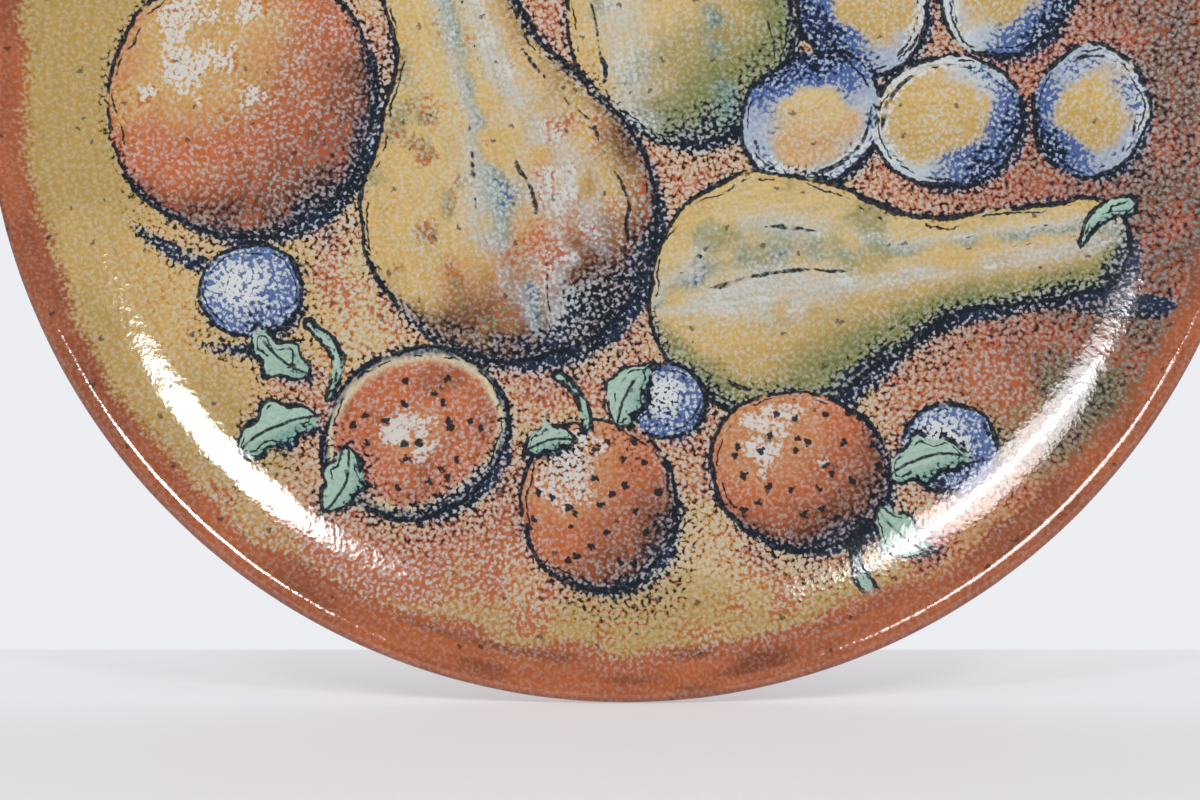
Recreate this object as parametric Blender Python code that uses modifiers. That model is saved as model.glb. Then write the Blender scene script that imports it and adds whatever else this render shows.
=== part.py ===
"""A round ceramic wall plate: a shallow dish with a curved-up wall, a rolled lip and a foot ring.

The plate is one fired piece. It is turned about its own axis, which lies level, so that the
painted face looks along -Y and the foot ring bears on the wall plane, y = 0. The origin is on
the back of the foot ring at its top, midway between the two holes that take the hanging cord.
"""

from math import cos, pi, radians, sin, sqrt, tan

import bmesh
import bpy
from mathutils import Matrix, Vector

# Sizes in metres, angles in degrees
PLATE_DIAMETER = 0.400
BODY_THICKNESS = 0.008

# The face: a faintly dished floor, a concave wall and a convex lip
FLOOR_END_SLOPE = 3.0
WALL_CURVE_RADIUS = 0.076
WALL_STEEPEST_SLOPE = 35.0
LIP_CURVE_RADIUS = 0.0086
LIP_EDGE_RADIUS = 0.0022

# The foot ring on the back, and the recess inside it
FOOT_RING_DIAMETER = 0.234
FOOT_RING_WIDTH = 0.010
FOOT_RING_HEIGHT = 0.012
FOOT_EDGE_RADIUS = 0.0015
FOOT_FILLET_RADIUS = 0.0025

# The two holes through the top of the foot ring
HANGING_HOLE_DIAMETER = 0.0066
HANGING_HOLE_SPACING = 0.060
HOLE_CUTTER_MARGIN = 0.006

# Facets
TURNED_STEPS = 80
HOLE_SIDES = 20
MERGE_DISTANCE = 0.00001

GLAZE_COLOUR = (0.62, 0.33, 0.13, 1.0)
GLAZE_ROUGHNESS = 0.12

# Values that follow from the sizes above
PLATE_RADIUS = PLATE_DIAMETER / 2
FLOOR_SLOPE = radians(FLOOR_END_SLOPE)
WALL_SLOPE = radians(WALL_STEEPEST_SLOPE)
CREST_RADIUS = PLATE_RADIUS - LIP_EDGE_RADIUS
WALL_END_RADIUS = CREST_RADIUS - LIP_CURVE_RADIUS * sin(WALL_SLOPE)
FLOOR_RADIUS = WALL_END_RADIUS - WALL_CURVE_RADIUS * (sin(WALL_SLOPE) - sin(FLOOR_SLOPE))
FLOOR_BEND = tan(FLOOR_SLOPE) / (2 * FLOOR_RADIUS)
FOOT_RADIUS = FOOT_RING_DIAMETER / 2
FOOT_OUTER_RADIUS = FOOT_RADIUS + FOOT_RING_WIDTH / 2
FOOT_INNER_RADIUS = FOOT_RADIUS - FOOT_RING_WIDTH / 2
CENTRE_HEIGHT = FOOT_RING_HEIGHT + BODY_THICKNESS - FLOOR_BEND * FOOT_RADIUS**2


def floor_point(radius):
    """The face of the floor at a radius, as (radius, height above the wall plane)."""
    return Vector((radius, CENTRE_HEIGHT + FLOOR_BEND * radius**2))


def floor_slope(radius):
    return 2 * FLOOR_BEND * radius


def arc(centre, radius, first, last, steps):
    """Points on an arc, angles in radians from the outward direction towards the face."""
    turns = [first + (last - first) * step / steps for step in range(steps + 1)]
    return [centre + radius * Vector((cos(turn), sin(turn))) for turn in turns]


def bend(start, corner, end, steps):
    """Points on a quadratic curve that leaves start and reaches end along their lines to corner."""
    shares = [step / steps for step in range(steps + 1)]
    return [start * (1 - s) ** 2 + corner * 2 * s * (1 - s) + end * s**2 for s in shares]


def behind(point, slope):
    """The point of the back that lies a body's thickness behind a point of the face."""
    return point + BODY_THICKNESS * Vector((sin(slope), -cos(slope)))


def face_profile():
    """The painted face, from the axis out over the crest of the lip to the widest point."""
    floor_steps, wall_steps, lip_steps, edge_steps = 5, 8, 5, 3
    floor = [floor_point(FLOOR_RADIUS * step / floor_steps) for step in range(floor_steps)]
    wall_centre = floor_point(FLOOR_RADIUS)
    wall_centre += WALL_CURVE_RADIUS * Vector((-sin(FLOOR_SLOPE), cos(FLOOR_SLOPE)))
    quarter = pi / 2
    wall = arc(wall_centre, WALL_CURVE_RADIUS, FLOOR_SLOPE - quarter, WALL_SLOPE - quarter, wall_steps)
    lip_centre = wall[-1] + LIP_CURVE_RADIUS * Vector((sin(WALL_SLOPE), -cos(WALL_SLOPE)))
    lip = arc(lip_centre, LIP_CURVE_RADIUS, quarter + WALL_SLOPE, quarter, lip_steps)
    edge_centre = lip[-1] - Vector((0, LIP_EDGE_RADIUS))
    edge = arc(edge_centre, LIP_EDGE_RADIUS, quarter, 0, edge_steps)
    return floor, wall, lip[1:] + edge[1:]


def back_of_wall(wall, widest):
    """The outside of the plate, from its widest point in along the back of the wall and floor."""
    under_steps = 5
    slopes = [FLOOR_SLOPE + (WALL_SLOPE - FLOOR_SLOPE) * i / (len(wall) - 1) for i in range(len(wall))]
    backs = [behind(point, slope) for point, slope in zip(wall, slopes)]
    inner_end = backs[-1]
    corner = Vector((widest.x, inner_end.y + (widest.x - inner_end.x) * tan(WALL_SLOPE)))
    under = bend(widest, corner, inner_end, under_steps)
    return under[1:] + backs[-2::-1]


def foot_profile():
    """The foot ring and the recess inside it, from the ring's outer fillet in to the axis."""
    fillet, edge = FOOT_FILLET_RADIUS, FOOT_EDGE_RADIUS
    corner_steps, recess_steps = 2, 3
    outer_top = Vector((FOOT_OUTER_RADIUS, back_height(FOOT_OUTER_RADIUS)))
    inner_top = Vector((FOOT_INNER_RADIUS, back_height(FOOT_INNER_RADIUS)))
    outer_fillet_end = Vector((outer_top.x + fillet, back_height(outer_top.x + fillet)))
    inner_fillet_end = Vector((inner_top.x - fillet, back_height(inner_top.x - fillet)))
    down, up = Vector((0, -fillet)), Vector((0, edge))
    outer_foot, inner_foot = Vector((FOOT_OUTER_RADIUS, 0)), Vector((FOOT_INNER_RADIUS, 0))
    across = Vector((edge, 0))
    points = bend(outer_fillet_end, outer_top, outer_top + down, corner_steps)
    points += bend(outer_foot + up, outer_foot, outer_foot - across, corner_steps)
    points += bend(inner_foot + across, inner_foot, inner_foot + up, corner_steps)
    points += bend(inner_top + down, inner_top, inner_fillet_end, corner_steps)
    recess_radius = inner_fillet_end.x
    for step in range(recess_steps - 1, -1, -1):
        radius = recess_radius * step / recess_steps
        points.append(Vector((radius, back_height(radius))))
    return points


def back_height(radius):
    """The height of the back at a radius under the floor, measured square to the face."""
    face_radius = radius
    settling_passes = 4
    for _ in range(settling_passes):
        face_radius = radius - BODY_THICKNESS * sin(floor_slope(face_radius))
    return behind(floor_point(face_radius), floor_slope(face_radius)).y


def plate_profile():
    """The whole turned outline, from the middle of the back out and over to the middle of the face."""
    floor, wall, lip = face_profile()
    back = back_of_wall(wall, lip[-1])
    face = floor + wall + lip
    return (face + back + foot_profile())[::-1]


def ceramic_material():
    material = bpy.data.materials.new("glazed_ceramic")
    material.use_nodes = True
    shader = material.node_tree.nodes["Principled BSDF"]
    shader.inputs["Base Color"].default_value = GLAZE_COLOUR
    shader.inputs["Roughness"].default_value = GLAZE_ROUGHNESS
    shader.inputs["Metallic"].default_value = 0.0
    material.diffuse_color = GLAZE_COLOUR
    return material


def upright():
    """Turns the plate's axis from up to level, with the face along -Y, and hangs it from the origin."""
    return Matrix.Translation((0, 0, -FOOT_RADIUS)) @ Matrix.Rotation(pi / 2, 4, "X")


def make_plate(collection):
    points = plate_profile()
    mesh = bpy.data.meshes.new("plate")
    corners = [(point.x, 0, point.y) for point in points]
    mesh.from_pydata(corners, [(i, i + 1) for i in range(len(points) - 1)], [])
    plate = bpy.data.objects.new("plate", mesh)
    collection.objects.link(plate)
    mesh.materials.append(ceramic_material())
    turning = plate.modifiers.new("turning", "SCREW")
    turning.axis = "Z"
    turning.steps = turning.render_steps = TURNED_STEPS
    turning.use_merge_vertices = True
    turning.merge_threshold = MERGE_DISTANCE
    turning.use_smooth_shade = True
    plate.matrix_world = upright()
    return plate


def make_hole_cutter(collection, side):
    """A rod that passes straight up through the top of the foot ring, to one side of the middle."""
    across = side * HANGING_HOLE_SPACING / 2
    ring_top = sqrt(FOOT_OUTER_RADIUS**2 - across**2)
    ring_bottom = sqrt(FOOT_INNER_RADIUS**2 - across**2)
    length = ring_top - ring_bottom + 2 * HOLE_CUTTER_MARGIN
    centre = Vector((across, -FOOT_RING_HEIGHT / 2, (ring_top + ring_bottom) / 2 - FOOT_RADIUS))
    mesh = bpy.data.meshes.new("hole_cutter")
    rod = bmesh.new()
    radius = HANGING_HOLE_DIAMETER / 2
    bmesh.ops.create_cone(
        rod, cap_ends=True, segments=HOLE_SIDES, radius1=radius, radius2=radius, depth=length
    )
    rod.to_mesh(mesh)
    rod.free()
    cutter = bpy.data.objects.new("hole_cutter", mesh)
    cutter.location = centre
    cutter.hide_render = True
    cutter.display_type = "WIRE"
    collection.objects.link(cutter)
    return cutter


def cut(plate, cutter):
    drilling = plate.modifiers.new("hanging_hole", "BOOLEAN")
    drilling.operation = "DIFFERENCE"
    drilling.object = cutter


def new_collection(name):
    collection = bpy.data.collections.new(name)
    bpy.context.scene.collection.children.link(collection)
    return collection


def main():
    for obj in list(bpy.data.objects):
        bpy.data.objects.remove(obj)
    parts = new_collection("wall_plate")
    cutters = new_collection("cutters")
    plate = make_plate(parts)
    for side in (-1, 1):
        cut(plate, make_hole_cutter(cutters, side))


main()
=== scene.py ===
"""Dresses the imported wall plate: the turned body, its painted glaze, and the studio round it."""

import logging
from dataclasses import dataclass, field, fields
from enum import Enum
from math import atan, cos, pi, radians, sin, sqrt, tan
from typing import Any

import bpy
import numpy as np
from mathutils import Matrix, Vector


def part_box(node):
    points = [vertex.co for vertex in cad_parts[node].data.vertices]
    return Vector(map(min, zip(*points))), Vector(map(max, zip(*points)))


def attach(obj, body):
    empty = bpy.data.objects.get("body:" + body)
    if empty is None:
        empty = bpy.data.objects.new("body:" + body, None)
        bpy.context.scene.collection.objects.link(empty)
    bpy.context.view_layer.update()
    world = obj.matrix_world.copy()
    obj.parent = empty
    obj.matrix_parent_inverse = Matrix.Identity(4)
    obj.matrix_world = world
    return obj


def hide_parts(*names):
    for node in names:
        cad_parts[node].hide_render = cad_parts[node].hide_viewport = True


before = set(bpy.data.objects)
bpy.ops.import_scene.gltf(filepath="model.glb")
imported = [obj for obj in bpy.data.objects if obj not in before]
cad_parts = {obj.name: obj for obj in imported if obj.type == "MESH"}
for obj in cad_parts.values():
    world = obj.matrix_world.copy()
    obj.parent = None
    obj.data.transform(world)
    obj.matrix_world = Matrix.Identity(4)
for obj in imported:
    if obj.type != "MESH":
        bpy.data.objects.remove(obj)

LOG = logging.getLogger("wall_plate")
MM = 0.001
GLAZE_IOR = 1.6
FAR = 60.0  # a distance that no brush mark reaches, in millimetres
SEED_SERIES = 40  # every motif's seed is lower, so that series of seeds stay apart
LIGHT_FROM = (-0.5, 0.62)  # right and up: where the painted light comes from
GLEAM_FROM = (-0.34, 0.42)  # the same for the pale gleams
WALL_DEPTH = 0.028  # how far the dish's wall stands out in front of the origin, in metres

Colour = tuple[float, float, float]
OpaqueColour = tuple[float, float, float, float]


def linear(code: str) -> Colour:
    """A colour as the shader takes it.

    Args:
        code: Six hexadecimal digits.

    Returns:
        Linear red, green and blue.
    """
    shares = [int(code[start : start + 2], 16) / 255 for start in (0, 2, 4)]
    return tuple(s / 12.92 if s <= 0.04045 else ((s + 0.055) / 1.055) ** 2.4 for s in shares)


def opaque(code: str) -> OpaqueColour:
    """Six hexadecimal digits as the colour that a shader socket takes."""
    return (*linear(code), 1.0)


class Pigment(Enum):
    """The glaze colours on the painter's palette."""

    OCHRE = "CBA963"
    OLIVE_OCHRE = "B49653"
    STRAW = "CDB376"
    CREAM = "D9CBA4"
    APRICOT = "C38A58"
    ORANGE = "BC683C"
    TERRACOTTA = "A15C3A"
    LIP_BROWN = "8C4A2E"
    RUST = "AC5834"
    BROWN = "5E321C"
    SAGE = "A2BFAE"
    LEAF_GREEN = "5B9480"
    TEAL = "3F7E82"
    MOSS = "6F7742"
    COBALT = "425A92"
    NIGHT_BLUE = "27354F"
    MIST_BLUE = "9FADBF"
    PALE_BLUE = "B7C4CA"
    SLATE = "554C40"
    INK = "171E26"
    PALE_GLAZE = "BAC0BF"
    WHITE_GLAZE = "D4D8D5"
    CLAY = "A8603C"

    @property
    def rgb(self) -> np.ndarray:
        """The linear colour as an array."""
        return np.array(linear(self.value))

    @property
    def rgba(self) -> OpaqueColour:
        """The linear colour as a shader socket takes it."""
        return opaque(self.value)


def ease(low: float, high: float, value: np.ndarray) -> np.ndarray:
    """A soft step from 0 at low to 1 at high; low may be the larger one."""
    share = np.clip((value - low) / (high - low), 0.0, 1.0)
    return share * share * (3 - 2 * share)


def mixed(under: np.ndarray, over: np.ndarray, share: np.ndarray) -> np.ndarray:
    """Colours laid over colours by a share at each point."""
    return under + (over - under) * np.asarray(share)[..., None]


def clouds(x: np.ndarray, z: np.ndarray, size: float, seed: int) -> np.ndarray:
    """Soft irregular patches.

    Args:
        x, z: Places on the face in millimetres.
        size: How wide a patch is, in millimetres.
        seed: Picks the patches.

    Returns:
        Values from 0 to 1.
    """
    cells = 64
    grid = np.random.default_rng(seed).random((cells, cells))
    column, row = x / size + cells, z / size + cells
    left, low = np.floor(column).astype(int), np.floor(row).astype(int)
    right_share, high_share = ease(0, 1, column - left), ease(0, 1, row - low)

    def along(line: np.ndarray) -> np.ndarray:
        """The values along one line of the grid, eased from cell to cell."""
        here, there = grid[left % cells, line % cells], grid[(left + 1) % cells, line % cells]
        return here * (1 - right_share) + there * right_share

    return along(low) * (1 - high_share) + along(low + 1) * high_share


def swung(right: np.ndarray, up: np.ndarray, turn: float) -> tuple[np.ndarray, np.ndarray]:
    """Places along and across a line that points turn degrees anticlockwise from the right."""
    way = radians(turn)
    return right * cos(way) + up * sin(way), up * cos(way) - right * sin(way)


def bowed(bend: float, share: np.ndarray) -> np.ndarray:
    """How far aside a bent line stands at a share of its length; bend is said of its middle."""
    return bend * 4 * share * (1 - share)


@dataclass
class Coat:
    """What the painter lays at each point: a wash and the pigments over it."""

    edge: np.ndarray  # millimetres to the outline, negative inside
    along: np.ndarray  # brush coordinates in millimetres
    across: np.ndarray
    mark: np.ndarray  # millimetres to an inner ink line
    tint: np.ndarray
    broken: np.ndarray  # how far pale glaze breaks through
    dark: np.ndarray  # blue-black shading
    accent: np.ndarray  # orange granules above nought, cobalt ones below
    light: np.ndarray  # pale strokes
    seeds: np.ndarray  # how strongly seeds show

    @classmethod
    def blank(cls, count: int) -> "Coat":
        """A coat with nothing painted on it yet.

        Args:
            count: How many points it has.

        Returns:
            The coat, its outline and inner lines far away.
        """
        coat = cls(*(np.zeros(count) for _ in fields(cls)))
        coat.tint = np.zeros((count, 3))
        coat.edge += FAR
        coat.mark += FAR
        return coat

    def plain(self, pigment: Pigment) -> np.ndarray:
        """One pigment at each of the coat's points."""
        return pigment.rgb + np.zeros_like(self.tint)

    def take(self, other: "Coat", where: np.ndarray) -> None:
        """Copies another coat into the points named by where."""
        for part in fields(self):
            getattr(self, part.name)[where] = getattr(other, part.name)[where]


@dataclass(frozen=True)
class Bulge:
    """The rounding that the painter pretends: how the surface faces, and its brush coordinates."""

    along: np.ndarray
    across: np.ndarray
    side: np.ndarray  # -1 at one long edge, 1 at the other
    right: np.ndarray  # how far the surface faces right, up and out
    up: np.ndarray
    out: np.ndarray

    def lit(self, right: float, up: float, out: float) -> np.ndarray:
        """How squarely each point faces a direction, from -1 to 1."""
        length = sqrt(right**2 + up**2 + out**2)
        return (self.right * right + self.up * up + self.out * out) / length


@dataclass(frozen=True)
class Skin:
    """How one kind of fruit is coloured."""

    body: Pigment
    lit: Pigment
    shade: Pigment
    cheek: Pigment
    cheek_way: tuple[float, float] = (0.6, -0.5)  # right and up: where the cheek looks
    cheek_share: float = 0.6
    broken: float = 0.3  # how far pale glaze breaks through
    gleam: float = 0.9  # strength of the pale strokes
    seeds: float = 0.0
    accent: float = 0.0  # strength of the orange granules
    depth: float = 0.8  # strength of the blue-black shading

    def paint(self, coat: Coat, bulge: Bulge, mottle: np.ndarray, blotch: np.ndarray) -> None:
        """Fills in a coat's wash and pigments for a rounded shape.

        Args:
            coat: The coat, whose outline is already set.
            bulge: The shape's pretended rounding.
            mottle: Soft irregular values from 0 to 1.
            blotch: Others, in wider and clearer patches.
        """
        facing = bulge.lit(*LIGHT_FROM, out=0.62) + (mottle - 0.5) * 0.5
        crown = bulge.lit(*GLEAM_FROM, out=0.84)
        tint = mixed(coat.plain(self.body), self.lit.rgb, ease(0.5, 0.95, facing) * 0.6)
        tint = mixed(tint, self.lit.rgb, ease(0.52, 0.68, blotch) * ease(0.2, 0.6, facing) * 0.7)
        cheek = ease(0.25, 0.85, bulge.lit(*self.cheek_way, out=0.45) + (blotch - 0.5) * 0.7)
        tint = mixed(tint, self.cheek.rgb, cheek * self.cheek_share)
        tint = mixed(tint, self.shade.rgb, ease(0.4, -0.2, facing) * 0.9)
        coat.tint[:] = mixed(tint, self.lit.rgb, ease(0.7, 0.9, crown) * 0.5)
        low = ease(0.12, -0.6, facing + (blotch - 0.5) * 0.4) * self.depth
        rim = ease(-6.0, 0.3, coat.edge) * (0.25 + 0.65 * ease(0.7, -0.2, facing))
        coat.dark[:] = np.maximum(low, rim)
        gleam = ease(0.86, 1.02, crown + (blotch - 0.5) * 0.6 + (mottle - 0.5) * 0.2)
        coat.light[:] = gleam * self.gleam * 0.75
        coat.broken[:] = self.broken * (0.5 + 1.6 * mottle**2)
        coat.accent[:] = self.accent * ease(0.3, 0.8, blotch)
        coat.seeds[:] = self.seeds


@dataclass(frozen=True)
class PearSkin(Skin):
    """A pear's skin, with long light and green-blue strokes down its body."""

    stroke: Pigment = Pigment.TEAL
    light_at: float = -0.42  # from -1 at one long edge to 1 at the other
    stroke_at: float = 0.12
    half_width: float = 34.0  # millimetres, for the inner lines

    def paint(self, coat: Coat, bulge: Bulge, mottle: np.ndarray, blotch: np.ndarray) -> None:
        """Adds the long strokes to the rounded wash.

        Args:
            coat: The coat, whose outline is already set.
            bulge: The shape's pretended rounding.
            mottle: Soft irregular values from 0 to 1.
            blotch: Others, in wider and clearer patches.
        """
        super().paint(coat, bulge, mottle, blotch)
        sway = (mottle - 0.5) * 0.35
        stroke = np.exp(-(((bulge.side - self.stroke_at + sway) / 0.11) ** 2))
        tint = mixed(coat.tint, self.stroke.rgb, stroke * ease(0.2, 0.7, mottle) * 0.7)
        mossy = ease(0.55, 0.8, blotch) * ease(-0.1, 0.5, bulge.side)
        tint = mixed(tint, Pigment.MOSS.rgb, mossy * 0.6)
        from_light = bulge.side - self.light_at
        first = np.exp(-(((from_light - sway) / 0.20) ** 2))
        second = 0.8 * np.exp(-(((from_light - 0.62 + sway) / 0.11) ** 2))
        band = np.maximum(first, second) * self.gleam * ease(0.15, 0.5, mottle)
        coat.tint[:] = mixed(tint, Pigment.PALE_BLUE.rgb, band * 0.6)
        coat.light[:] = np.maximum(coat.light * 0.25, band * (0.3 + 0.45 * ease(0.3, 0.7, blotch)))
        coat.broken[:] = coat.broken + band * 0.5
        blue = stroke * ease(0.35, 0.85, mottle) * 0.34
        coat.accent[:] = np.where(blue > 0.08, -blue, coat.accent * ease(0.1, 0.0, blue))
        line_places = (-0.76, self.light_at + 0.26, self.stroke_at + 0.1)
        lines = [np.abs(bulge.side - line_place + 0.3 * sway) for line_place in line_places]
        coat.mark[:] = np.min(lines, axis=0) * self.half_width + 3 * ease(0.52, 0.34, mottle)


@dataclass(frozen=True)
class BloomSkin(Skin):
    """A blue skin with a bloom: a yellow heart, a pale band and a dark crescent on one side."""

    dark_way: tuple[float, float] = (-0.8, -0.6)

    def paint(self, coat: Coat, bulge: Bulge, mottle: np.ndarray, blotch: np.ndarray) -> None:
        """Lays the heart, the band and the crescent by how far out each point is.

        Args:
            coat: The coat, whose outline is already set.
            bulge: The shape's pretended rounding.
            mottle: Soft irregular values from 0 to 1.
            blotch: Others, in wider and clearer patches.
        """
        wander = (mottle - 0.5) * 0.4 + (blotch - 0.5) * 0.3
        spread = np.hypot(bulge.right, bulge.up)
        side = bulge.right * self.dark_way[0] + bulge.up * self.dark_way[1]
        heart = ease(0.76, 0.44, spread + wander + 0.25 * side)
        tint = mixed(coat.plain(self.body), self.lit.rgb, heart)
        tint = mixed(tint, self.cheek.rgb, ease(0.3, -0.3, bulge.up + wander) * heart * 0.5)
        crescent = ease(0.0, 0.5, side + wander) * ease(0.36, 0.62, spread + wander)
        coat.tint[:] = mixed(tint, self.shade.rgb, crescent * 0.55)
        coat.dark[:] = crescent * ease(0.30, 0.85, side + wander) * self.depth
        coat.accent[:] = -0.8 * np.maximum(crescent, ease(0.45, 0.75, blotch) * (1 - heart) * 0.6)
        coat.light[:] = ease(0.70, 0.80, spread) * ease(0.15, -0.45, side + wander) * self.gleam
        coat.broken[:] = self.broken * (0.6 + 0.8 * blotch)
        coat.mark[:] = np.abs(coat.edge + 3.3) + 6 * ease(0.1, -0.25, -side)


@dataclass(frozen=True)
class BerrySkin(Skin):
    """A small blue berry: cobalt granules on pale glaze, closer together towards its edge."""

    def paint(self, coat: Coat, bulge: Bulge, mottle: np.ndarray, blotch: np.ndarray) -> None:
        """Lays granules that thin out towards a pale crown.

        Args:
            coat: The coat, whose outline is already set.
            bulge: The shape's pretended rounding.
            mottle: Soft irregular values from 0 to 1.
            blotch: Not used.
        """
        spread = np.hypot(bulge.right + 0.15, bulge.up - 0.15) + (mottle - 0.5) * 0.35
        coat.tint[:] = mixed(coat.plain(self.lit), self.body.rgb, ease(0.25, 0.9, spread))
        coat.accent[:] = -(0.36 + 0.40 * ease(0.25, 0.95, spread))
        averted = ease(0.1, -0.8, bulge.lit(*LIGHT_FROM, out=0.3))
        coat.dark[:] = averted * ease(0.6, 1.0, spread) * self.depth
        coat.light[:] = ease(0.42, 0.22, spread) * self.gleam
        coat.broken[:] = self.broken


@dataclass(frozen=True)
class CutSkin(Skin):
    """A fruit cut open: a dark rind, a pale ring, and flesh with strokes towards its middle."""

    rind: float = 1.6
    ring: float = 3.6

    def paint(self, coat: Coat, bulge: Bulge, mottle: np.ndarray, blotch: np.ndarray) -> None:
        """Lays the rings by their distance from the outline.

        Args:
            coat: The coat, whose outline is already set.
            bulge: The shape's pretended rounding.
            mottle: Soft irregular values from 0 to 1.
            blotch: Others, in wider and clearer patches.
        """
        edge = coat.edge + (mottle - 0.5) * 2.4
        tint = mixed(coat.plain(self.body), Pigment.TERRACOTTA.rgb, ease(0.45, 0.8, blotch))
        spread = np.hypot(bulge.right, bulge.up) + (mottle - 0.5) * 0.3
        tint = mixed(tint, self.cheek.rgb, ease(0.45, 0.12, spread) * 0.8)
        tint = mixed(tint, self.lit.rgb, ease(-self.ring - 1.2, -self.ring + 0.8, edge))
        tint = mixed(tint, self.shade.rgb, ease(-self.rind - 0.8, -self.rind + 0.4, edge))
        coat.tint[:] = tint
        averted = ease(0.3, -0.6, bulge.lit(*LIGHT_FROM, out=0.45))
        coat.dark[:] = averted * ease(-15, -1, edge) * self.depth
        coat.light[:] = ease(0.55, 0.2, spread) * self.gleam * ease(0.4, 0.65, blotch)
        coat.broken[:] = self.broken * (0.5 + mottle)
        coat.seeds[:] = self.seeds * ease(-self.ring - 1.0, -self.ring - 3.0, edge)


@dataclass(frozen=True)
class Motif:
    """A painted shape on the face; sizes in millimetres from the plate's middle."""

    x: float
    z: float
    length: float  # half its length, or how far a pear, leaf or stalk reaches from its place
    width: float  # half its width
    turn: float  # where its length points, in degrees anticlockwise from the right
    skin: Skin
    cast: float = 1.0  # strength of its shadow
    seed: int = 0

    def local(self, x: np.ndarray, z: np.ndarray) -> tuple[np.ndarray, np.ndarray]:
        """Places along and across the motif."""
        return swung(x - self.x, z - self.z, self.turn)

    def edge(self, x: np.ndarray, z: np.ndarray) -> np.ndarray:
        """Distance to the outline, negative inside: an ellipse here.

        Args:
            x, z: Places on the face in millimetres.

        Returns:
            Millimetres, near enough for a brush.
        """
        along, across = self.local(x, z)
        scaled = np.hypot(along / self.length, across / self.width)
        slope = np.hypot(along / self.length**2, across / self.width**2)
        return scaled * (scaled - 1) / np.maximum(slope, 1e-5)

    def rounding(self, x: np.ndarray, z: np.ndarray) -> tuple[np.ndarray, np.ndarray]:
        """How far the pretended surface leans along and across, from -1 to 1."""
        along, across = self.local(x, z)
        return along / self.length, across / self.width

    def bulge(self, x: np.ndarray, z: np.ndarray) -> Bulge:
        """The pretended rounding at each point.

        Args:
            x, z: Places on the face in millimetres.

        Returns:
            How the surface faces, and its brush coordinates.
        """
        lean_along, lean_across = self.rounding(x, z)
        lean = np.maximum(np.hypot(lean_along, lean_across), 1.0)
        lean_along, lean_across = lean_along / lean, lean_across / lean
        right, up = swung(lean_along, lean_across, -self.turn)
        out = np.sqrt(np.maximum(1 - lean_along**2 - lean_across**2, 0))
        return Bulge(*self.local(x, z), lean_across, right, up, out)

    def coat(self, x: np.ndarray, z: np.ndarray) -> Coat:
        """The motif's own paint at each point.

        Args:
            x, z: Places on the face in millimetres.

        Returns:
            The coat.
        """
        coat = Coat.blank(len(x))
        coat.edge[:] = self.edge(x, z)
        bulge = self.bulge(x, z)
        streak_shift = 40.0 * self.seed
        coat.along[:], coat.across[:] = bulge.along + streak_shift, bulge.across

        def soft(size: float, series: int) -> np.ndarray:
            """Patches of the motif's own, of a size in millimetres."""
            return clouds(x, z, size, SEED_SERIES * series + self.seed)

        mottle = 0.6 * soft(13.0, 1) + 0.4 * soft(5.5, 2)
        blotch = 0.7 * soft(9.0, 3) + 0.3 * soft(4.0, 4)
        self.skin.paint(coat, bulge, mottle, blotch)
        return coat

    def shadow(self, x: np.ndarray, z: np.ndarray) -> np.ndarray:
        """How dark the motif makes what lies under it, to its lower right and close round it.

        Args:
            x, z: Places on the face in millimetres.

        Returns:
            Values from 0 to 1.
        """
        fall = 0.08 * self.width + 1.6
        core = ease(2.5, -4.5, self.edge(x - fall, z + 1.1 * fall))
        haze = ease(17.0, -3.0, self.edge(x - 1.3 * fall, z + 1.6 * fall)) * 0.5
        near = ease(6.5, 0.0, self.edge(x, z)) * 0.66
        return np.maximum(np.maximum(core, haze), near) * self.cast


@dataclass(frozen=True)
class Pear(Motif):
    """A pear: its place is the middle of its round end, and its length runs to its neck."""

    neck: float = 17.0
    waist: float = 26.0

    def edge(self, x: np.ndarray, z: np.ndarray) -> np.ndarray:
        """Distance to a circle and a neck that flow into each other.

        Args:
            x, z: Places on the face in millimetres.

        Returns:
            Millimetres, negative inside.
        """
        along, across = self.local(x, z)
        body = np.hypot(along, across) - self.width
        start = 0.42 * self.length
        step = np.clip((along - start) / (self.length - start), 0, 1)
        stem = np.hypot(along - start - step * (self.length - start), across) - self.neck
        share = np.clip(0.5 + 0.5 * (stem - body) / self.waist, 0, 1)
        return stem + (body - stem) * share - self.waist * share * (1 - share)

    def rounding(self, x: np.ndarray, z: np.ndarray) -> tuple[np.ndarray, np.ndarray]:
        """The lean across by the local width, and along at the two ends.

        Args:
            x, z: Places on the face in millimetres.

        Returns:
            The leans along and across, from -1 to 1.
        """
        along, across = self.local(x, z)
        half = np.maximum(np.abs(across) - self.edge(x, z), 2.0)
        lean_across = across / half
        at_neck = np.clip((along - self.length) / self.neck, 0, 1)
        at_round_end = np.clip(-along / self.width, 0, 1)
        return at_neck - at_round_end + 0.25 * np.clip(along / self.length, 0, 1), lean_across


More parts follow.
